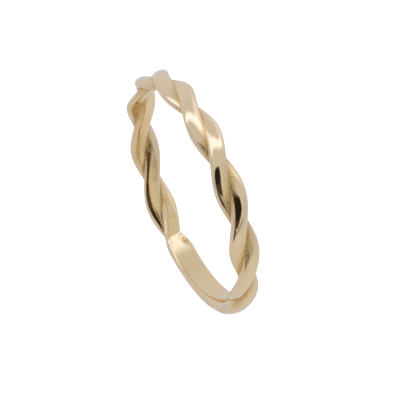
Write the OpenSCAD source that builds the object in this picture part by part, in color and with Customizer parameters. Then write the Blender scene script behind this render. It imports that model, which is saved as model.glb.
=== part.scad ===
// Rope twist ring: two strands twisted round each other for most of the hoop,
// closed by a plain half-round stretch. The ring lies on its side: its finger
// hole runs along Z, and the middle of the plain stretch faces -Y.
// Units are millimetres and degrees.

/* [Finger hole] */

// Diameter of the finger hole, US ring size 7 (mm)
bore_diameter = 17.3; // [14:0.1:22]

/* [Rope] */

// Depth of the rope's centre line outside the wall of the hole (mm)
rope_depth = 0.57; // [0.5:0.01:0.8]
// Width of one strand, measured along the line through both strands (mm)
strand_width = 1.45; // [1.3:0.05:1.8]
// Thickness of one strand, measured across that line (mm)
strand_thickness = 1.38; // [1.2:0.02:1.8]
// Distance between the centres of the two strands (mm)
strand_spacing = 0.97; // [0.7:0.01:1.1]
// How far the rope is flattened towards the finger: 1 is round
flattening = 0.655; // [0.55:0.005:0.9]
// Number of places where one strand crosses over the other
crossings = 9; // [5:2:9]
// Angle round the ring from one crossing to the next (degrees)
crossing_angle = 30.5; // [24:0.5:32]

/* [Plain stretch] */

// Width of the plain stretch, along the finger (mm)
plain_width = 2.2; // [1.9:0.05:2.4]
// Width of the plain stretch's inner face, between its bevelled edges (mm)
inner_face = 1.85; // [1.5:0.05:2.1]
// Thickness of the plain stretch where it leaves the last crossing (mm)
plain_thin = 0.9; // [0.8:0.05:1.4]
// Thickness of the plain stretch where it meets the first crossing (mm)
plain_thick = 1.4; // [0.9:0.05:1.5]
// Rise of the rounded outer face of the plain stretch (mm)
dome_rise = 0.7; // [0.4:0.05:0.75]
// Half turns between the first crossing and the nose of the plain stretch
first_gap = 0.7; // [0.3:0.05:0.8]
// Half turns between the last crossing and the nose of the plain stretch
last_gap = 0; // [0:0.05:0.4]
// Length of the rounded noses of the plain stretch, in half turns
nose_length = 0.45; // [0.3:0.05:0.6]
// How much the strands shrink inside the plain stretch past the last crossing
last_shrink = 0.62; // [0.5:0.02:0.8]
// How much the strands shrink inside the plain stretch before the first crossing
first_shrink = 0.5; // [0.4:0.02:0.7]
// Depth of the pockets where the grooves end, as a share of the form there
pocket_depth = 0.3; // [0.1:0.05:0.4]

/* [Finish] */

// Sharpness of the valley where two forms meet: higher is sharper
valley_sharpness = 14; // [8:1:24]
// Sharpness of the edges of the plain stretch: higher is sharper
edge_sharpness = 14; // [8:1:20]

/* [Hidden] */

bore = bore_diameter / 2;
centre = bore + rope_depth;
half_w = strand_width / 2;
half_t = strand_thickness / 2;
half_s = min(strand_spacing / 2, 0.8 * half_w);
squash = flattening;
pitch = min(crossing_angle, 270 / (crossings - 1));
start = 90 - (crossings - 1) / 2 * pitch;
turns = 360 / pitch;
last = crossings - 1;
nose_a = -first_gap;
nose_b = last + last_gap;
thick_a = min(plain_thin, plain_thick);
thick_b = max(plain_thin, plain_thick);

// Places on the hoop are counted in half turns of the rope from the first crossing.
spin_from = -1;
spin_to = last + 0.5;
fine_from = -1.2;
fine_to = last + 0.7;
fine_steps = ceil((fine_to - fine_from) * 21);
plain_steps = 22;
sides = 24;

// Height that the rope reaches above and below the ring's middle plane
reach = half_s + half_w;

// Slope of the bevels beside the plain stretch's inner face
bevel = 0.6;

// Where the two grooves end: place, angle, then the pocket's length and spread
first_pocket = [nose_a - 0.1, 52, 0.13, 20];
last_pocket = [nose_b + 0.26, 208, 0.08, 12];

function eased(x) = let (c = max(0, min(1, x))) c * c * (3 - 2 * c);

// Distance from the origin to an ellipse, along a ray at angle g. The ellipse is
// centred q along the x axis and has the semi-axes d and h.
function to_ellipse(g, q, d, h) =
    let (
        a = pow(cos(g) / d, 2) + pow(sin(g) / h, 2),
        b = q * cos(g) / (d * d),
        c = q * q / (d * d) - 1
    )
    (b + sqrt(max(0, b * b - a * c))) / a;

// Outline of the pair of strands: the further of the two ellipses.
function pair(g) = max(
    to_ellipse(g, half_s, half_w, half_t),
    to_ellipse(g, -half_s, half_w, half_t)
);

// Share of the strands' size that is left at a place.
function strand_share(t) =
    1 - last_shrink * eased(t - nose_b) - first_shrink * eased((nose_a - 0.6 - t) / 1.2);

// Growth of the plain stretch out of the rope: a quarter ellipse at each nose.
function nose(t) =
    let (u = max(0, min(1, max((nose_a - t), (t - nose_b)) / nose_length)))
    sqrt(1 - pow(1 - u, 2)) + 0.001;

// Thickness of the plain stretch: thin after the last crossing, then thicker.
function thickness(t) =
    let (
        past = t < 0 ? t + turns : t,
        v = (past - nose_b) / (turns + nose_a - nose_b)
    )
    thick_a + (thick_b - thick_a) * eased((v - 0.3) / 0.7);

// Outline of the plain stretch, seen from the rope's centre: two straight sides
// and a domed outer face. The inner face is left to the finger hole.
function block(g, t) =
    let (
        e = edge_sharpness,
        top = (thickness(t) - rope_depth) / squash,
        rise = dome_rise / squash,
        half = plain_width / 2,
        inward = max(-cos(g), 0.000001),
        deep = (rope_depth + 0.2) / squash / inward,
        side = half / max(abs(sin(g)), 0.000001),
        lean = max(abs(sin(g)) - bevel * squash * cos(g), 0.000001),
        slant = (min(inner_face / 2, half) + bevel * rope_depth) / lean,
        dome = to_ellipse(g, top - rise, rise, half * 1.02)
    )
    pow(
        pow(min(deep, 50), -e) + pow(min(side, 50), -e)
            + pow(min(slant, 50), -e) + pow(dome, -e),
        -1 / e
    );

// What a pocket leaves of the form at a place and angle.
function pocket(t, g, p) =
    let (
        turned = ((g - p[1] + 180) % 360 + 360) % 360 - 180,
        off = pow((t - p[0]) / p[2], 2) + pow(turned / p[3], 2)
    )
    1 - pocket_depth * exp(-off);

// Distance of the surface from the rope's centre at angle g, before flattening.
function outline(g, t) =
    let (
        f = valley_sharpness,
        rope = pair(g + 180 * t) * strand_share(t),
        body = block(g, t) * nose(t)
    )
    pow(pow(rope, f) + pow(body, f), 1 / f)
        * pocket(t, g, first_pocket) * pocket(t, g, last_pocket);

// The columns of the mesh follow the strands, and stand still in the plain stretch.
function spin(t) = -180 * max(spin_from, min(spin_to, t));

function place(t, g) =
    let (
        r = outline(g, t),
        out = centre + squash * r * cos(g),
        a = start + pitch * t
    )
    [out * cos(a), out * sin(a), r * sin(g)];

stations = concat(
    [for (i = [0 : fine_steps - 1]) fine_from + (fine_to - fine_from) * i / fine_steps],
    [for (i = [0 : plain_steps - 1])
        fine_to + (turns + fine_from - fine_to) * i / plain_steps]
);
count = len(stations);

// Stations past the spin are written as places before the first crossing.
function local(t) = t > (nose_b + turns + nose_a) / 2 ? t - turns : t;

hoop_points = [
    for (i = [0 : count - 1])
        let (t = stations[i], s = spin(t))
        for (j = [0 : sides - 1]) place(local(t), s + 360 * j / sides)
];

// The last ring of points meets the first after this many columns.
shift = round((spin(spin_to) - spin(spin_from)) / 360 * sides);

function at(i, j) =
    i < count
        ? i * sides + (j % sides + sides) % sides
        : ((j + shift) % sides + sides) % sides;

hoop_faces = [
    for (i = [0 : count - 1])
        for (j = [0 : sides - 1])
            for (k = [0, 1])
                k == 0
                    ? [at(i, j), at(i, j + 1), at(i + 1, j + 1)]
                    : [at(i, j), at(i + 1, j + 1), at(i + 1, j)]
];

// The two strands and the plain stretch, one piece of metal, with the finger
// hole cut through so that the inside of every strand is flat to the finger.
module ring() {
    color([0.86, 0.72, 0.45])
    difference() {
        polyhedron(points = hoop_points, faces = hoop_faces, convexity = 10);
        translate([0, 0, -reach - 1])
            cylinder(r = bore, h = 2 * reach + 2, $fn = 180);
    }
}

ring();
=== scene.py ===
"""Rope twist ring of pale yellow gold, on a pale floor in soft studio light.

Two strands are twisted round each other for two thirds of the hoop, and a plain
half-round stretch closes it. Sizes are in millimetres and degrees, and meshes
are written in metres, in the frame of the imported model. Places on the hoop are
counted in half turns of the rope from the first crossing. Angles in a section
across the hoop start at the outer side and turn towards the upper one.
"""

import logging
import math
from dataclasses import dataclass, field
from enum import Enum
from functools import reduce

import bpy
import numpy as np
from mathutils import Matrix, Vector


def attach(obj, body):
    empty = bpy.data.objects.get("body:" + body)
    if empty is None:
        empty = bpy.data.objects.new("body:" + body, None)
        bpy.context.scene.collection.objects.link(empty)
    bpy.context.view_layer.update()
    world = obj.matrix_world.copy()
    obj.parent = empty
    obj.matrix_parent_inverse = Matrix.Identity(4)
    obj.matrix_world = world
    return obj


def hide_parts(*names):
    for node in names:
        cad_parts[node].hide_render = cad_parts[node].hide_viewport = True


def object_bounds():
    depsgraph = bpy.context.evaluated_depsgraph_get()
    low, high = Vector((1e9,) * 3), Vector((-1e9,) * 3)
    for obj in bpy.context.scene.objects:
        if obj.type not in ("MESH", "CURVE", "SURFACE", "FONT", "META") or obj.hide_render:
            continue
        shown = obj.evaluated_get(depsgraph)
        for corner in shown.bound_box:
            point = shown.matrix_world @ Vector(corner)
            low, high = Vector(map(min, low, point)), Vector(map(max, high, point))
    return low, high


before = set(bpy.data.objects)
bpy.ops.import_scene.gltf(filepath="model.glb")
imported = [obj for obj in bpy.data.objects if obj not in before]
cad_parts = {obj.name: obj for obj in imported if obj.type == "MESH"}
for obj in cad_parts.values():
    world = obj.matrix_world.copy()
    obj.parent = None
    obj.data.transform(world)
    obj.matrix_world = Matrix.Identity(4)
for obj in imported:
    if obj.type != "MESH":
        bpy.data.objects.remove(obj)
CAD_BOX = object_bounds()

MM = 0.001
FULL_TURN = 2 * math.pi
PHOTO_WIDTH = 420
LOG = logging.getLogger("ring")

# Furthest that a flat is taken to be from a section's middle
FAR = 50.0
# Least number that is divided by
TINY = 1e-6
# Middle of Blender's noise
NOISE_MIDDLE = 0.5

Array = np.ndarray
Number = np.ndarray | float
Span = tuple[float, float]
Colour = tuple[float, float, float]


def eased(x: Array) -> Array:
    """Smooth step: 3 c^2 - 2 c^3 of x held between 0 and 1."""
    c = np.clip(x, 0, 1)
    return c * c * (3 - 2 * c)


def rise(x: Array, start: Number, fade: float) -> Array:
    """Smooth step of x, which is 0 up to the start and 1 a fade further on."""
    return eased((x - start) / fade)


def between(x: Array, ends: Span, fade: float) -> Array:
    """Smooth step up at the first end, times one down at the second."""
    return rise(x, ends[0], fade) * (1 - rise(x, ends[1], fade))


def bell(*offsets: Array) -> Array:
    """Bell curve: e to the power of minus the sum of the squared offsets."""
    return np.exp(-sum(offset**2 for offset in offsets))


def smooth_larger(sharpness: float, *values: Array) -> Array:
    """Larger of some values with a rounded valley: the p-norm of the values."""
    return sum(v**sharpness for v in values) ** (1 / sharpness)


def smooth_smaller(sharpness: Number, *values: Array) -> Array:
    """Smaller of some values with a rounded edge: the p-norm of minus p."""
    return sum(v**-sharpness for v in values) ** (-1 / sharpness)


def to_line(offset: Number, facing: Array) -> Array:
    """Distance along a ray to a line: its offset over the cosine towards it."""
    return np.minimum(FAR, offset / np.maximum(facing, TINY))


def to_ellipse(angle: Array, shift: Number, deep: float, high: float) -> Array:
    """Distance from the origin to an ellipse along a ray.

    The ray (d cos a, d sin a) is put into the ellipse's equation
    ((x - shift) / deep)^2 + (y / high)^2 = 1, and the larger root is kept.

    Args:
        angle: Angle of the ray.
        shift: Place of the ellipse's centre on the x axis.
        deep: Half the ellipse's size along x.
        high: Half the ellipse's size along y.

    Returns:
        The distance, one for each angle.
    """
    a = (np.cos(angle) / deep) ** 2 + (np.sin(angle) / high) ** 2
    b = shift * np.cos(angle) / deep**2
    c = shift * shift / deep**2 - 1
    return (b + np.sqrt(np.maximum(0, b * b - a * c))) / a


@dataclass(frozen=True)
class Ripple:
    """Smooth random relief that closes on itself in both directions.

    Random values stand at the corners of a grid of cells, and the relief between
    them is their eased bilinear mean.
    """

    height: float
    cells: tuple[int, int]
    seed: int

    def relief(self, u: Array, v: Array) -> Array:
        """Works out the relief at some places.

        Args:
            u: Place along the first direction, 0 to 1.
            v: Place along the second direction, 0 to 1.

        Returns:
            Values from minus to plus the height, in the shape of u and v together.
        """
        corners = np.random.default_rng(self.seed).uniform(-1, 1, self.cells)
        x, y = np.broadcast_arrays(u % 1 * self.cells[0], v % 1 * self.cells[1])
        i, j = np.floor(x).astype(int), np.floor(y).astype(int)
        p, q = eased(x - i), eased(y - j)
        i, j = i % self.cells[0], j % self.cells[1]
        k, n = (i + 1) % self.cells[0], (j + 1) % self.cells[1]
        near = corners[i, j] * (1 - q) + corners[i, n] * q
        far = corners[k, j] * (1 - q) + corners[k, n] * q
        return self.height * (near * (1 - p) + far * p)


class Term:
    """A shader socket that takes part in Python sums and products."""

    def __init__(self, shader: "Shader", socket: bpy.types.NodeSocket | None) -> None:
        """Keeps the shader that holds the socket, and the socket."""
        self.shader = shader
        self.socket = socket

    def __add__(self, other: "Term | float") -> "Term":
        """This plus other."""
        return self.shader.math("ADD", self, other)

    def __radd__(self, other: float) -> "Term":
        """Other plus this."""
        return self.shader.math("ADD", other, self)

    def __sub__(self, other: "Term | float") -> "Term":
        """This minus other."""
        return self.shader.math("SUBTRACT", self, other)

    def __rsub__(self, other: float) -> "Term":
        """Other minus this."""
        return self.shader.math("SUBTRACT", other, self)

    def __mul__(self, other: "Term | float") -> "Term":
        """This times other."""
        return self.shader.math("MULTIPLY", self, other)

    def __rmul__(self, other: float) -> "Term":
        """Other times this."""
        return self.shader.math("MULTIPLY", other, self)

    def held(self) -> "Term":
        """This held between 0 and 1."""
        return self.along(0.0, 1.0, smooth=False)

    def along(self, low: float, high: float, smooth: bool = True) -> "Term":
        """How far this has come from low to high, from 0 to 1.

        Args:
            low: Value that gives 0.
            high: Value that gives 1.
            smooth: Eases both ends.

        Returns:
            The share of the way.
        """
        kind = "SMOOTHSTEP" if smooth else "LINEAR"
        return self.shader.make(
            "ShaderNodeMapRange",
            {"interpolation_type": kind, "clamp": True},
            {"Value": self, "From Min": low, "From Max": high},
            "Result",
        )


class Shader:
    """Node tree of a material or world, with one method that adds any node."""

    def __init__(self, owner: bpy.types.Material | bpy.types.World) -> None:
        """Empties a node tree and keeps it.

        Args:
            owner: Material or world that has the node tree.
        """
        owner.use_nodes = True
        self.tree = owner.node_tree
        self.tree.nodes.clear()

    @staticmethod
    def find(sockets: list, name: str) -> bpy.types.NodeSocket:
        """Finds a socket of a node.

        Args:
            sockets: The node's inputs or outputs.
            name: Identifier or name of the socket that is wanted.

        Returns:
            The socket of that identifier, or else the first in use of that name.
        """
        exact = [s for s in sockets if s.identifier == name]
        named = [s for s in sockets if s.name == name and s.enabled]
        return (exact or named)[0]

    def make(self, kind: str, settings: dict, inputs: dict, output: str = "") -> Term:
        """Adds a node, sets it up, and fills or links its sockets.

        Args:
            kind: Type of the node.
            settings: Properties of the node, set before its sockets.
            inputs: Values or terms of its input sockets, by name.
            output: Name of the output socket that is wanted.

        Returns:
            The output socket as a term; the first one when no name is given.
        """
        node = self.tree.nodes.new(kind)
        for key, value in settings.items():
            setattr(node, key, value)
        for key, value in inputs.items():
            socket = self.find(list(node.inputs), key)
            if isinstance(value, Term):
                self.tree.links.new(value.socket, socket)
            elif isinstance(value, tuple) and len(socket.default_value) == 4:
                socket.default_value = (*value, 1.0)[:4]
            else:
                socket.default_value = value
        if not node.outputs:
            return Term(self, None)
        found = self.find(list(node.outputs), output) if output else node.outputs[0]
        return Term(self, found)

    def math(self, operation: str, first: Term | float, second: Term | float) -> Term:
        """Math node of an operation on two numbers."""
        inputs = {"Value": first, "Value_001": second}
        return self.make("ShaderNodeMath", {"operation": operation}, inputs)

    def larger(self, first: Term, second: Term) -> Term:
        """Larger of two numbers."""
        return self.math("MAXIMUM", first, second)

    def smaller(self, first: Term, second: Term) -> Term:
        """Smaller of two numbers."""
        return self.math("MINIMUM", first, second)

    def vector(self, operation: str, output: str, inputs: dict) -> Term:
        """Vector Math node of an operation on vectors."""
        return self.make("ShaderNodeVectorMath", {"operation": operation}, inputs, output)

    def stretched(self, vector: Term, by: tuple) -> Term:
        """Vector times another, axis by axis."""
        return self.vector("MULTIPLY", "Vector", {"Vector": vector, "Vector_001": by})

    def facing(self, vector: Term, axis: tuple) -> Term:
        """Cosine between a unit vector and a unit axis."""
        return self.vector("DOT_PRODUCT", "Value", {"Vector": vector, "Vector_001": axis})

    def scaled(self, vector: Term, by: Term | float) -> Term:
        """Vector or colour times a number."""
        return self.vector("SCALE", "Vector", {"Vector": vector, "Scale": by})

    def blend(self, share: Term, first: Term | Colour, second: Term | Colour) -> Term:
        """Colour between two colours, the second where share is 1."""
        inputs = {"Factor_Float": share, "A_Color": first, "B_Color": second}
        return self.make("ShaderNodeMix", {"data_type": "RGBA"}, inputs, "Result_Color")

    def attribute(self, name: str) -> Term:
        """Number that the mesh carries at its points under a name."""
        return self.make("ShaderNodeAttribute", {"attribute_name": name}, {}, "Fac")

    def noise(self, where: Term, scale: float, detail: float = 2.0) -> Term:
        """Noise about its middle, with so many cells to a millimetre."""
        inputs = {"Vector": where, "Scale": scale / MM, "Detail": detail}
        return self.make("ShaderNodeTexNoise", {}, inputs, "Fac")


@dataclass
class StrandPair:
    """The two twisted strands, seen in a section across the hoop."""

    # Section of one strand, and how far its middle is from the pair's
    half_width: float = 0.725
    half_thickness: float = 0.69
    half_spacing: float = 0.485
    # Places where one strand crosses over the other, and the angle between two
    crossings: int = 9
    pitch: float = 30.5
    # Share of their size that the strands lose inside the plain stretch, how
    # far before it starts at the first nose, and its length at either end
    last_shrink: float = 0.62
    first_shrink: float = 0.5
    first_shrink_start: float = 0.6
    last_shrink_fade: float = 1.0
    first_shrink_fade: float = 1.2
    # Flats on the finger's side, which draw back from a strand that lies low
    facet_depth: float = 0.60
    facet_retreat: float = 0.5
    facet_fade: float = 0.8
    facet_sharpness: float = 8.0
    # Stretch where the flats were left as cast, and their softer edge there
    rough_ends: Span = (5.1, 6.3)
    rough_fade: float = 0.4
    rough_softening: float = 4.5
    # Cast grain in the outer grooves, and the stretch where it was brushed
    groove_width: float = 0.42
    groove_narrowing: float = 0.4
    brushed_ends: Span = (2.0, 5.0)
    brushed_fade: float = 0.6
    brushed_loss: float = 0.35
    # Cast grain on the flanks that face the finger, on the hoop's upper side
    cast_width: float = 0.70
    cast_low: float = -0.35
    cast_low_fade: float = 0.4
    cast_inward: float = -0.05
    cast_inward_fade: float = 0.5
    cast_end: float = 7.15
    cast_end_fade: float = 0.3

    @property
    def last(self) -> int:
        """Place of the last crossing."""
        return self.crossings - 1

    @property
    def turns(self) -> float:
        """Places once round the whole hoop."""
        return 360 / self.pitch

    def azimuth(self, place: Array) -> Array:
        """Angle round the hoop: the middle crossing faces +Y."""
        return np.radians(90 + (place - self.last / 2) * self.pitch)

    def reach(self, angle: Array, place: Array, sign: int) -> Array:
        """Works out one strand's outline, which turns half a turn a place.

        Args:
            angle: Angle in the section.
            place: Place on the hoop.
            sign: 1 for one strand, -1 for the other.

        Returns:
            The distance to the strand's outline.
        """
        turned = angle + math.pi * place
        shift = sign * self.half_spacing
        return to_ellipse(turned, shift, self.half_width, self.half_thickness)

    def facet(self, angle: Array, place: Array, sign: int) -> Array:
        """Works out the flat that is pressed along one strand's inner side.

        The flat is a line across the section, so far to the finger's side of
        the strand's middle. It fades out where the strand lies on the lower
        side of the hoop.

        Args:
            angle: Angle in the section.
            place: Place on the hoop.
            sign: 1 for one strand, -1 for the other.

        Returns:
            The distance to the flat.
        """
        turned = math.pi * place
        middle = sign * self.half_spacing * np.cos(turned)
        lower = rise(sign * np.sin(turned), -self.facet_fade / 2, self.facet_fade)
        deep = self.facet_depth + self.facet_retreat * lower - middle
        return to_line(deep, -np.cos(angle))

    def pressed(self, angle: Array, place: Array, sign: int) -> tuple[Array, Array]:
        """Presses one strand's inner side flat: the smaller of strand and flat.

        Args:
            angle: Angle in the section.
            place: Place on the hoop.
            sign: 1 for one strand, -1 for the other.

        Returns:
            The distance, and how near it is to the flat: 1 on the flat.
        """
        sharp = self.facet_sharpness - self.rough_softening * self.rough(place)
        facet = self.facet(angle, place, sign)
        reach = smooth_smaller(sharp, self.reach(angle, place, sign), facet)
        return reach, reach / facet

    def twisted(self, angle: Array, place: Array) -> tuple[Array, Array]:
        """Takes the further of the two pressed strands.

        Args:
            angle: Angle in the section.
            place: Place on the hoop.

        Returns:
            The distance to the pair's outline, and how near it is to a flat.
        """
        strand_a, flat_a = self.pressed(angle, place, 1)
        strand_b, flat_b = self.pressed(angle, place, -1)
        flat = np.where(strand_a > strand_b, flat_a, flat_b)
        return np.maximum(strand_a, strand_b), flat

    def share(self, place: Array, first_nose: float, last_nose: float) -> Array:
        """Works out what the plain stretch leaves of the strands.

        Args:
            place: Place on the hoop.
            first_nose: Place of the nose before the first crossing.
            last_nose: Place of the nose after the last crossing.

        Returns:
            The share of the strands' size that is left.
        """
        after = self.last_shrink * rise(place, last_nose, self.last_shrink_fade)
        back = rise(first_nose - place, self.first_shrink_start, self.first_shrink_fade)
        return 1 - after - self.first_shrink * back

    def unpolished(self, angle: Array, place: Array) -> Array:
        """Works out where no polishing wheel reaches.

        It is a bell curve of the difference between the strands, narrow in the
        outer grooves and wide on the flanks that face the finger.

        Args:
            angle: Angle in the section.
            place: Place on the hoop.

        Returns:
            The share of cast grain: 1 in the middle of a groove.
        """
        gap = self.reach(angle, place, 1) - self.reach(angle, place, -1)
        narrow = rise(place, self.brushed_ends[0], self.brushed_fade)
        width = self.groove_width * (1 - self.groove_narrowing * narrow)
        brushed = between(place, self.brushed_ends, self.brushed_fade)
        groove = bell(gap / width) * (1 - self.brushed_loss * brushed)
        inward = rise(-np.cos(angle), self.cast_inward, self.cast_inward_fade)
        upper = rise(np.sin(angle), self.cast_low, self.cast_low_fade)
        before = 1 - rise(place, self.cast_end, self.cast_end_fade)
        flank = bell(gap / self.cast_width) * inward * upper * before
        return np.maximum(groove, flank)

    def rough(self, place: Array) -> Array:
        """1 where the inner flats were left as cast, with soft ends."""
        return between(place, self.rough_ends, self.rough_fade)


@dataclass
class PlainStretch:
    """The half-round stretch that closes the hoop."""

    width: float = 2.2
    # Face towards the finger, its bevels' slope, and its depth inside the hole
    inner_face: float = 1.85
    bevel: float = 0.6
    inner_depth: float = 0.2
    # Thickness at either end, and the share of the way that stays thin
    thin: float = 0.98
    thick: float = 1.48
    thin_share: float = 0.3
    # Rise of the outer face, and its width as a share of the stretch's
    dome_rise: float = 0.7
    dome_width: float = 1.02
    # Places of the rounded noses, their length, and the least share left
    first_nose: float = -0.7
    last_nose: float = 8.0
    nose_length: float = 0.45
    nose_least: float = 0.001
    edge_sharpness: float = 14.0

    def nose(self, place: Array) -> Array:
        """Works out the growth out of the rope, a quarter ellipse at each nose.

        Args:
            place: Place on the hoop.

        Returns:
            The share of the stretch's size.
        """
        past = np.maximum(self.first_nose - place, place - self.last_nose)
        u = np.clip(past / self.nose_length, 0, 1)
        return np.sqrt(1 - (1 - u) ** 2) + self.nose_least

    def thickness(self, place: Array, turns: float) -> Array:
        """Works out the thickness: thin after the last crossing, then thicker.

        Args:
            place: Place on the hoop.
            turns: Places once round the hoop.

        Returns:
            The thickness, eased to its full size at the first crossing.
        """
        past = np.where(place < 0, place + turns, place)
        v = (past - self.last_nose) / (turns + self.first_nose - self.last_nose)
        grown = rise(v, self.thin_share, 1 - self.thin_share)
        return self.thin + (self.thick - self.thin) * grown

    def reach(
        self, angle: Array, place: Array, turns: float, depth: float, squash: float
    ) -> Array:
        """Works out the stretch's outline, in the section before flattening.

        The outline is the rounded smaller of the inner face, the two sides, the
        two bevels and the domed outer face.

        Args:
            angle: Angle in the section.
            place: Place on the hoop.
            turns: Places once round the hoop.
            depth: Depth of the section's middle outside the finger hole.
            squash: Share by which the section is flattened.

        Returns:
            The distance, one for each place and angle.
        """
        cosine, sine = np.cos(angle), np.abs(np.sin(angle))
        top = (self.thickness(place, turns) - depth) / squash
        dome_rise, half = self.dome_rise / squash, self.width / 2
        slant = self.inner_face / 2 + self.bevel * depth
        return smooth_smaller(
            self.edge_sharpness,
            to_ellipse(angle, top - dome_rise, dome_rise, half * self.dome_width),
            to_line((depth + self.inner_depth) / squash, -cosine),
            to_line(half, sine),
            to_line(slant, sine - self.bevel * squash * cosine),
        )


@dataclass
class Patch:
    """A soft patch on the skin, at a place on the hoop and an angle about it.

    The length is in places and the spread in degrees. The twist is how far the
    patch leans: degrees to a place. Its strength holds in its middle.
    """

    place: float
    angle: float
    length: float
    spread: float
    twist: float = 0.0
    strength: float = 1.0

    def mask(self, angle: Array, place: Array) -> Array:
        """Works out a bell curve about the patch's place and angle.

        Args:
            angle: Angle in the section.
            place: Place on the hoop.

        Returns:
            The patch's strength there.
        """
        past = place - self.place
        middle = self.angle + self.twist * past
        turned = (np.degrees(angle) - middle + 180) % 360 - 180
        return self.strength * bell(past / self.length, turned / self.spread)


@dataclass
class GrooveEnd(Patch):
    """A small pocket where the grooves run out into the plain stretch."""

    depth: float = 0.3


class Mark(Enum):
    """Names of the shares that the mesh carries for its finish and for its painted shade.
    """

    GROOVE = "groove"
    WALL = "wall"
    PLAIN = "plain"
    # Dark grains at set spots: cast grain darkened as painted shade of deep grooves
    SHADED_GRAIN = "soot"


@dataclass
class RopeRing:
    """The whole ring: strands, plain stretch and groove ends in one skin."""

    # Radius of the finger hole, and the small rounded edge of its wall
    bore: float = 8.57
    wall_edge: float = 0.11
    # Depth of the section's middle outside the hole, and how flat it is
    depth: float = 0.65
    squash: float = 0.655
    valley_sharpness: float = 14.0
    # Mesh: sections round the hoop from this place on, and columns round it
    sections: int = 920
    columns: int = 104
    first_section: float = -1.2
    # The columns turn from this place on, to so far past the last crossing
    twist_start: float = -1.0
    twist_past: float = 0.5
    # Waves of hand polishing, as a share of the section, and the cast grain
    polishing: Ripple = Ripple(0.004, (64, 6), 11)
    grain: Ripple = Ripple(0.010, (420, 48), 12)
    strands: StrandPair = field(default_factory=StrandPair)
    plain: PlainStretch = field(default_factory=PlainStretch)
    # Pockets, dark grains of painted shade, low swells, and places left as cast
    ends: tuple[GrooveEnd, ...] = (
        GrooveEnd(place=-0.8, angle=52.0, length=0.13, spread=20.0),
        GrooveEnd(place=8.26, angle=208.0, length=0.08, spread=12.0),
    )
    # Spots where dark grains paint the shade that falls in deep grooves
    shaded_grain_patches: tuple[Patch, ...] = (
        Patch(place=6.52, angle=203.0, length=0.17, spread=10.0, twist=-95.0),
        Patch(place=7.88, angle=92.0, length=0.08, spread=6.0, twist=-130.0),
        Patch(place=0.37, angle=-5.0, length=0.09, spread=5.0, twist=-75.0),
    )
    swells: tuple[Patch, ...] = (
        Patch(
            place=1.08, angle=-18.0, length=0.24, spread=25.0, twist=-94.0, strength=0.035
        ),
    )
    casts: tuple[Patch, ...] = (
        Patch(place=5.6, angle=112.0, length=0.28, spread=16.0, strength=0.4),
        Patch(place=5.6, angle=165.0, length=0.2, spread=25.0, strength=0.2),
        Patch(
            place=6.4, angle=140.0, length=0.4, spread=18.0, twist=-110.0, strength=0.75
        ),
        Patch(place=7.5, angle=225.0, length=0.14, spread=22.0, strength=0.6),
        Patch(
            place=0.24, angle=58.0, length=0.16, spread=14.0, twist=-200.0, strength=0.8
        ),
        Patch(place=-0.78, angle=48.0, length=0.16, spread=26.0, strength=0.8),
        Patch(place=-0.55, angle=18.0, length=0.2, spread=9.0, strength=0.7),
    )

    @property
    def twist_end(self) -> float:
        """Place where the mesh's columns stop turning."""
        return self.strands.last + self.twist_past

    def grid(self) -> tuple[Array, Array, Array]:
        """Lays out the mesh's points over the hoop.

        The columns turn with the strands and stand still in the plain stretch.

        Returns:
            Places, angles, and column numbers as shares of a whole turn.
        """
        turns = self.strands.turns
        start, end = self.first_section, self.first_section + turns
        along = np.linspace(start, end, self.sections, endpoint=False)[:, None]
        around = np.linspace(0, 1, self.columns, endpoint=False)[None, :]
        turned = math.pi * np.clip(along, self.twist_start, self.twist_end)
        middle = (self.plain.last_nose + turns + self.plain.first_nose) / 2
        place = np.where(along > middle, along - turns, along)
        return place, FULL_TURN * around - turned, around

    def form(self, angle: Array, place: Array) -> tuple[Array, Array, Array]:
        """Joins the strands and the plain stretch, less the pockets.

        The outline is the rounded larger of the two.

        Args:
            angle: Angle in the section.
            place: Place on the hoop.

        Returns:
            The distance to the outline, the share that is the plain stretch's,
            and how near a strand is to its inner flat.
        """
        rope, plain = self.strands, self.plain
        twisted, flat = rope.twisted(angle, place)
        twisted = twisted * rope.share(place, plain.first_nose, plain.last_nose)
        body = plain.reach(angle, place, rope.turns, self.depth, self.squash)
        body = body * plain.nose(place)
        r = smooth_larger(self.valley_sharpness, twisted, body)
        for end in self.ends:
            r = r * (1 - end.depth * end.mask(angle, place))
        plain_share = np.clip((body / r) ** self.valley_sharpness, 0, 1)
        return r, plain_share, flat

    def skin(self) -> tuple[Array, dict[Mark, Array]]:
        """Works out the ring's skin, and the shares of its finishes and of its painted
        shade.

        The form gets the soft waves of hand polishing and the cast grain. It is
        flattened towards the finger, and what would lie inside the finger hole
        is pressed to its wall with a small rounded edge.

        Returns:
            Points in metres, section by column, and the shares by their names.
        """
        place, angle, around = self.grid()
        rope = self.strands
        r, plain_share, flat = self.form(angle, place)
        hollow = sum(end.mask(angle, place) for end in self.ends)
        groove = rope.unpolished(angle, place) * (1 - plain_share)
        groove = np.clip(groove + hollow, 0, 1)
        u = place / rope.turns
        swell = sum(patch.mask(angle, place) for patch in self.swells)
        r = r * (1 + swell + self.polishing.relief(u, around))
        r = r + groove * self.grain.relief(u, around)
        past = self.depth + self.squash * r * np.cos(angle)
        lifted = (past + np.sqrt(past**2 + self.wall_edge**2)) / 2
        radius, azimuth = self.bore + lifted, rope.azimuth(place)
        points = np.stack(
            [radius * np.cos(azimuth), radius * np.sin(azimuth), r * np.sin(angle)], -1
        )
        wall = 1 - rise(past, -self.wall_edge / 2, self.wall_edge)
        wall = 1 - (1 - wall) * (1 - flat**rope.facet_sharpness)
        cast = sum(patch.mask(angle, place) for patch in self.casts)
        wheel = wall * (1 - rope.rough(place))
        marks = {
            Mark.GROOVE: np.maximum(groove * (1 - wheel), np.clip(cast, 0, 1)),
            Mark.WALL: wall,
            Mark.PLAIN: plain_share,
            # Dark grains at set spots, which paint shade into the colour
            Mark.SHADED_GRAIN: sum(patch.mask(angle, place) for patch in self.shaded_grain_patches),
        }
        return points * MM, marks

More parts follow.
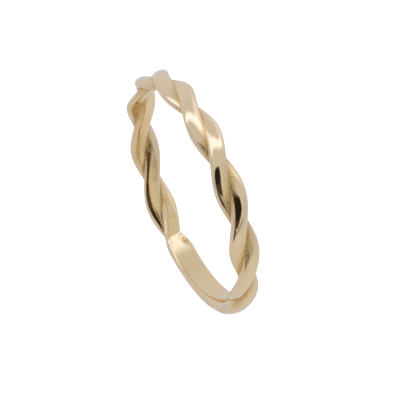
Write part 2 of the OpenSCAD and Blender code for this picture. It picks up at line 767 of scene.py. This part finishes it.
    def faces(self) -> Array:
        """Joins each section to the next, and the last to the first.

        The first section is met so many columns further on as the columns have
        turned by.

        Returns:
            Four corners of each face.
        """
        index = np.arange(self.sections * self.columns)
        index = index.reshape(self.sections, self.columns)
        whole_turns = (self.twist_end - self.twist_start) / 2
        back = round(-whole_turns * self.columns)
        after = np.concatenate([index[1:], np.roll(index[:1], -back, 1)], 0)
        corners = [index, after, np.roll(after, -1, 1), np.roll(index, -1, 1)]
        return np.stack(corners, -1).reshape(-1, 4)

    def build(self) -> bpy.types.Object:
        """Makes the ring's object from its skin.

        Returns:
            The object, at the origin, with its shares as point attributes.
        """
        points, marks = self.skin()
        mesh = bpy.data.meshes.new("rope_ring")
        mesh.from_pydata(points.reshape(-1, 3).tolist(), [], self.faces().tolist())
        mesh.polygons.foreach_set("use_smooth", np.ones(len(mesh.polygons), bool))
        for mark, share in marks.items():
            layer = mesh.attributes.new(mark.value, "FLOAT", "POINT")
            full = np.broadcast_to(share, points.shape[:2])
            layer.data.foreach_set("value", full.ravel().astype(np.float32))
        mesh.update()
        ring = bpy.data.objects.new("rope_ring", mesh)
        bpy.context.scene.collection.objects.link(ring)
        return ring

    def dress(self, ring: bpy.types.Object, gold: "PolishedGold") -> None:
        """Gives the ring its gold, and puts it in the plain solid's place.

        Args:
            ring: The ring's object.
            gold: Its finish.
        """
        ring.data.materials.append(gold.material())
        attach(ring, "root")
        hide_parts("ring")


@dataclass(frozen=True)
class PolishedGold:
    """Pale yellow gold: high polish, with cast grain left in the grooves."""

    colour: Colour = (0.86, 0.68, 0.425)
    polish: float = 0.035
    patch_scale: float = 0.9
    patch_roughness: float = 0.03
    # Cast grain in the grooves, with dark pits where the noise is this high
    groove_colour: Colour = (0.75, 0.49, 0.175)
    groove_roughness: float = 0.30
    # Colour of the cast grain's dark pits, also used for the dark grains of painted shade
    pit_and_shade_colour: Colour = (0.22, 0.13, 0.05)
    spot_scale: float = 8.3
    spot_detail: float = 3.0
    pit_noise: Span = (0.50, 0.64)
    pit_share: float = 0.6
    # Dark grains of painted shade at set spots, which lie closer together
    shaded_grain_noise: Span = (0.30, 0.52)
    shaded_grain_reach: float = 1.6
    shaded_grain_share: float = 0.85
    # Inner flats and the hole's wall, with fine lines drawn along the finger
    wall_colour: Colour = (0.86, 0.65, 0.34)
    wall_roughness: float = 0.12
    line_colour: Colour = (0.74, 0.53, 0.27)
    line_scale: float = 5.2
    line_stretch: tuple[float, float, float] = (1.0, 1.0, 0.04)
    line_noise: Span = (0.56, 0.66)
    line_share: float = 0.6
    # Shares of the wall's colour and of its lines that the plain stretch lacks
    plain_wall_loss: float = 0.4
    plain_line_loss: float = 0.6
    # Height of the grain's relief, and the lines' as a share of it
    bump_distance: float = 0.04
    bump_strength: float = 0.7
    line_height: float = 0.04

    def material(self) -> bpy.types.Material:
        """Builds the gold's nodes.

        Returns:
            The material, which reads Object coordinates and the mesh's shares.
        """
        material = bpy.data.materials.new("polished_gold")
        s = Shader(material)
        where = s.make("ShaderNodeTexCoord", {}, {}, "Object")
        groove = s.attribute(Mark.GROOVE.value)
        wall = s.attribute(Mark.WALL.value)
        plain = s.attribute(Mark.PLAIN.value)
        soot = s.attribute(Mark.SHADED_GRAIN.value)
        spots = s.noise(where, self.spot_scale, self.spot_detail)
        patches = s.noise(where, self.patch_scale)
        lines = s.noise(s.stretched(where, self.line_stretch), self.line_scale)
        drawn = wall * lines.along(*self.line_noise) * (1 - self.plain_line_loss * plain)
        pits = (groove * groove * spots.along(*self.pit_noise)).held()
        # Dark grains of painted shade at the set spots
        shaded_grains = (soot * self.shaded_grain_reach * spots.along(*self.shaded_grain_noise)).held()
        walled = wall * (1 - self.plain_wall_loss * plain)
        colour = s.blend(walled, self.colour, self.wall_colour)
        colour = s.blend(groove.held(), colour, self.groove_colour)
        colour = s.blend(pits * self.pit_share, colour, self.pit_and_shade_colour)
        # Painted shade: the dark grains take the pits' colour
        colour = s.blend(shaded_grains * self.shaded_grain_share, colour, self.pit_and_shade_colour)
        colour = s.blend(drawn * self.line_share, colour, self.line_colour)
        rough = self.polish + self.patch_roughness * (patches - NOISE_MIDDLE)
        rough = rough + self.groove_roughness * groove + self.wall_roughness * wall
        bump = s.make(
            "ShaderNodeBump",
            {},
            {
                "Strength": self.bump_strength,
                "Distance": self.bump_distance * MM,
                "Height": groove * spots + self.line_height * wall * lines,
            },
        )
        surface = s.make(
            "ShaderNodeBsdfPrincipled",
            {},
            {
                "Base Color": colour,
                "Metallic": 1.0,
                "Roughness": rough.held(),
                "Normal": bump,
            },
        )
        s.make("ShaderNodeOutputMaterial", {}, {"Surface": surface})
        return material


@dataclass(frozen=True)
class PaleFloor:
    """Matt white that glows a little, so that the floor is pale all over."""

    colour: Colour = (0.90, 0.90, 0.90)
    roughness: float = 0.9
    specular: float = 0.2
    glow_colour: Colour = (1.0, 1.0, 1.0)
    glow: float = 0.85

    def material(self) -> bpy.types.Material:
        """Builds the floor's nodes.

        Returns:
            The material, the same all over.
        """
        material = bpy.data.materials.new("pale_floor")
        s = Shader(material)
        surface = s.make(
            "ShaderNodeBsdfPrincipled",
            {},
            {
                "Base Color": self.colour,
                "Roughness": self.roughness,
                "Specular IOR Level": self.specular,
                "Emission Color": self.glow_colour,
                "Emission Strength": self.glow,
            },
        )
        s.make("ShaderNodeOutputMaterial", {}, {"Surface": surface})
        return material


def towards(azimuth: float, elevation: float) -> Vector:
    """Unit vector of an azimuth and elevation in degrees."""
    a, e = math.radians(azimuth), math.radians(elevation)
    return Vector((math.cos(e) * math.cos(a), math.cos(e) * math.sin(a), math.sin(e)))


@dataclass(frozen=True)
class Card:
    """A light or a dark screen with straight sides, far from the ring.

    Its corners are azimuths and elevations in degrees, in order round a convex
    outline, and its edges are soft over so many degrees. A fill's tone is added
    to the studio's light, and a screen's, below 0, is the share of the light
    that it takes away. The cards of the strip light share one tone.
    """

    corners: tuple[Span, ...]
    soft: float
    tone: float = 0.0

    def mask(self, s: Shader, direction: Term) -> Term:
        """Builds the card's outline with soft edges.

        Each side lies in a plane through the ring, and the mask is the product
        of how far the direction stands inside each plane.

        Args:
            s: Shader of the studio's light.
            direction: Direction as seen from the ring.

        Returns:
            1 where the direction meets the card.
        """
        points = [towards(*corner) for corner in self.corners]
        middle = sum(points, Vector()).normalized()
        half = math.sin(math.radians(self.soft / 2))
        mask = None
        for here, there in zip(points, points[1:] + points[:1]):
            plane = here.cross(there).normalized()
            plane = plane if plane.dot(middle) > 0 else -plane
            step = s.facing(direction, tuple(plane)).along(-half, half)
            mask = step if mask is None else mask * step
        return mask


@dataclass
class Studio:
    """Floor and light round the ring."""

    # Floor: its radius and sides, and the gap between it and the ring
    floor_radius: float = 1500.0
    floor_sides: int = 96
    floor_gap: float = 0.02
    # Light from all round and what the strip adds to it, and the tone below
    # which light takes on the tint of the dark
    base_tone: float = 0.72
    strip_tone: float = 0.74
    neutral_tone: float = 0.50
    dark_tint: Colour = (1.0, 0.68, 0.42)
    warm_tint: Colour = (1.0, 1.0, 0.95)
    cool_tint: Colour = (0.97, 1.0, 1.20)
    strip_tint: Colour = (0.88, 0.95, 1.24)
    # Cool share of the light, and its gain towards one side and up and down
    cool_share: float = 0.5
    cool_azimuth: float = 150.0
    cool_aside: float = 0.3
    cool_upright: float = 0.45
    # The strip light's middle, upper end and lower end, which meet
    strip: tuple[Card, ...] = (
        Card(((50, -22), (69, -22), (88, 26), (71, 26)), 10),
        Card(((70, 14), (87, 14), (110, 50), (84, 52)), 12),
        Card(((46, -58), (69, -56), (67, -13), (51, -13)), 14),
    )
    # Glow from below, and a faint light low on either side
    fills: tuple[Card, ...] = (
        Card(((30, -88), (150, -88), (130, -44), (60, -34)), 28, 0.3),
        Card(((108, -50), (156, -50), (150, 24), (112, 24)), 22, 0.04),
        Card(((246, -55), (322, -55), (322, 8), (250, 8)), 26, 0.04),
    )
    # Where screens overlap, the darkest holds
    screens: tuple[Card, ...] = (
        # Large dark screen in front of the ring, its wing, and its darkest part
        Card(
            ((21, -9), (32, 25), (33, 38), (29, 48), (15, 51), (-20, 52), (-22, 30),
             (-23, 18), (-14, 5), (-6, -4), (2, -11), (10, -12)), 4, -0.89,
        ),
        Card(
            ((-20, 34), (-18, 52), (-40, 53), (-58, 50), (-54, 43), (-40, 30),
             (-34, 28), (-28, 29)), 4, -0.87,
        ),
        Card(
            ((20, -8), (31, 26), (32, 38), (27, 48), (-4, 48), (-6, 27), (-5, 10),
             (1, -4), (10, -9)), 5, -0.965,
        ),
        # Half-dark screens beside and above it
        Card(
            ((-18, -8), (-12, -28), (-36, -28), (-39, 8), (-37, 32), (-25, 32)), 8,
            -0.34,
        ),
        Card(((30, 44), (24, 62), (-30, 62), (-56, 46)), 12, -0.5),
        # Faint ones high up, low in front, and behind the ring
        Card(
            ((-70, 60), (-40, 47), (0, 47), (50, 47), (110, 47), (165, 54), (228, 84)),
            14, -0.13,
        ),
        Card(((296, -25), (370, -25), (370, -82), (296, -82)), 30, -0.1),
        Card(((184, 2), (214, 2), (214, 36), (184, 36)), 10, -0.09),
    )

    def floor(self) -> bpy.types.Object:
        """Makes a round pale floor just under the ring.

        Returns:
            The floor's object.
        """
        low = CAD_BOX[0].z - self.floor_gap * MM
        angle = np.linspace(0, FULL_TURN, self.floor_sides, endpoint=False)
        radius = self.floor_radius * MM
        x, y = radius * np.cos(angle), radius * np.sin(angle)
        rim = np.stack([x, y, np.full_like(x, low)], -1)
        mesh = bpy.data.meshes.new("floor")
        mesh.from_pydata(rim.tolist(), [], [list(range(self.floor_sides))])
        mesh.materials.append(PaleFloor().material())
        floor = bpy.data.objects.new("floor", mesh)
        bpy.context.scene.collection.objects.link(floor)
        floor.visible_glossy = False
        return floor

    def light(self) -> bpy.types.World:
        """Makes soft light from all round, with the cards in it.

        Returns:
            The scene's world.
        """
        world = bpy.data.worlds.new("studio")
        bpy.context.scene.world = world
        s = Shader(world)
        direction = s.make("ShaderNodeTexCoord", {}, {}, "Generated")
        strip = reduce(s.larger, [card.mask(s, direction) for card in self.strip])
        tone = self.base_tone + self.strip_tone * strip
        for card in self.fills:
            tone = tone + card.tone * card.mask(s, direction)
        dimmed = [1 + card.tone * card.mask(s, direction) for card in self.screens]
        tone = tone * reduce(s.smaller, dimmed)
        aside = s.facing(direction, tuple(towards(self.cool_azimuth, 0)))
        upright = s.facing(direction, tuple(towards(0, 90)))
        cool = self.cool_share + self.cool_aside * aside
        cool = (cool + self.cool_upright * upright * upright).held()
        light = s.blend(cool, self.warm_tint, self.cool_tint)
        light = s.blend(strip, light, self.strip_tint)
        share = tone.along(0.0, self.neutral_tone, smooth=False)
        tint = s.blend(share, self.dark_tint, light)
        glow = s.make("ShaderNodeBackground", {}, {"Color": s.scaled(tint, tone)})
        s.make("ShaderNodeOutputWorld", {}, {"Surface": glow})
        return world


@dataclass(frozen=True)
class PhotoCamera:
    """Camera at the photograph's place, aimed without any lens shift.

    It stands so far from the hole's centre, whose place in the picture is given
    in pixels, and looks at the point that the middle of the picture shows.
    """

    azimuth: float = 17.325
    elevation: float = 17.083
    roll: float = -110.201
    distance: float = 245.89
    pixels_per_mm: float = 12.8723
    hole_centre: Span = (192.034, 192.532)
    sensor_width: float = 36.0
    nearest: float = 10.0
    furthest: float = 10000.0

    def build(self) -> bpy.types.Object:
        """Makes the camera.

        Returns:
            The camera's object, made the scene's camera.
        """
        back = towards(self.azimuth, self.elevation)
        level = towards(self.azimuth + 90, 0)
        right = Matrix.Rotation(math.radians(self.roll), 3, back) @ level
        top = back.cross(right)
        place = back * self.distance * MM
        step = MM / self.pixels_per_mm
        across, down = [PHOTO_WIDTH / 2 - pixel for pixel in self.hole_centre]
        aim = right * across * step - top * down * step
        away = (place - aim).normalized()
        side = top.cross(away).normalized()
        up = away.cross(side)
        lens = bpy.data.cameras.new("camera")
        lens.sensor_width = self.sensor_width
        lens.lens = self.pixels_per_mm * self.distance * self.sensor_width / PHOTO_WIDTH
        lens.clip_start = self.nearest * MM
        lens.clip_end = self.furthest * MM
        camera = bpy.data.objects.new("camera", lens)
        turned = Matrix((side, up, away)).transposed().to_4x4()
        camera.matrix_world = Matrix.Translation(place) @ turned
        bpy.context.scene.collection.objects.link(camera)
        bpy.context.scene.camera = camera
        return camera


def report(piece: bpy.types.Object) -> None:
    """Logs a piece's name and its number of faces."""
    LOG.info("%s: %d faces", piece.name, len(piece.data.polygons))


def main() -> None:
    """Builds the studio and the ring, and reports each piece."""
    logging.basicConfig(level=logging.INFO, format="%(name)s: %(message)s")
    PhotoCamera().build()
    studio = Studio()
    studio.light()
    report(studio.floor())
    ring = RopeRing()
    piece = ring.build()
    ring.dress(piece, PolishedGold())
    report(piece)
    bpy.context.scene.view_settings.view_transform = "Standard"


if __name__ == "__main__":
    main()
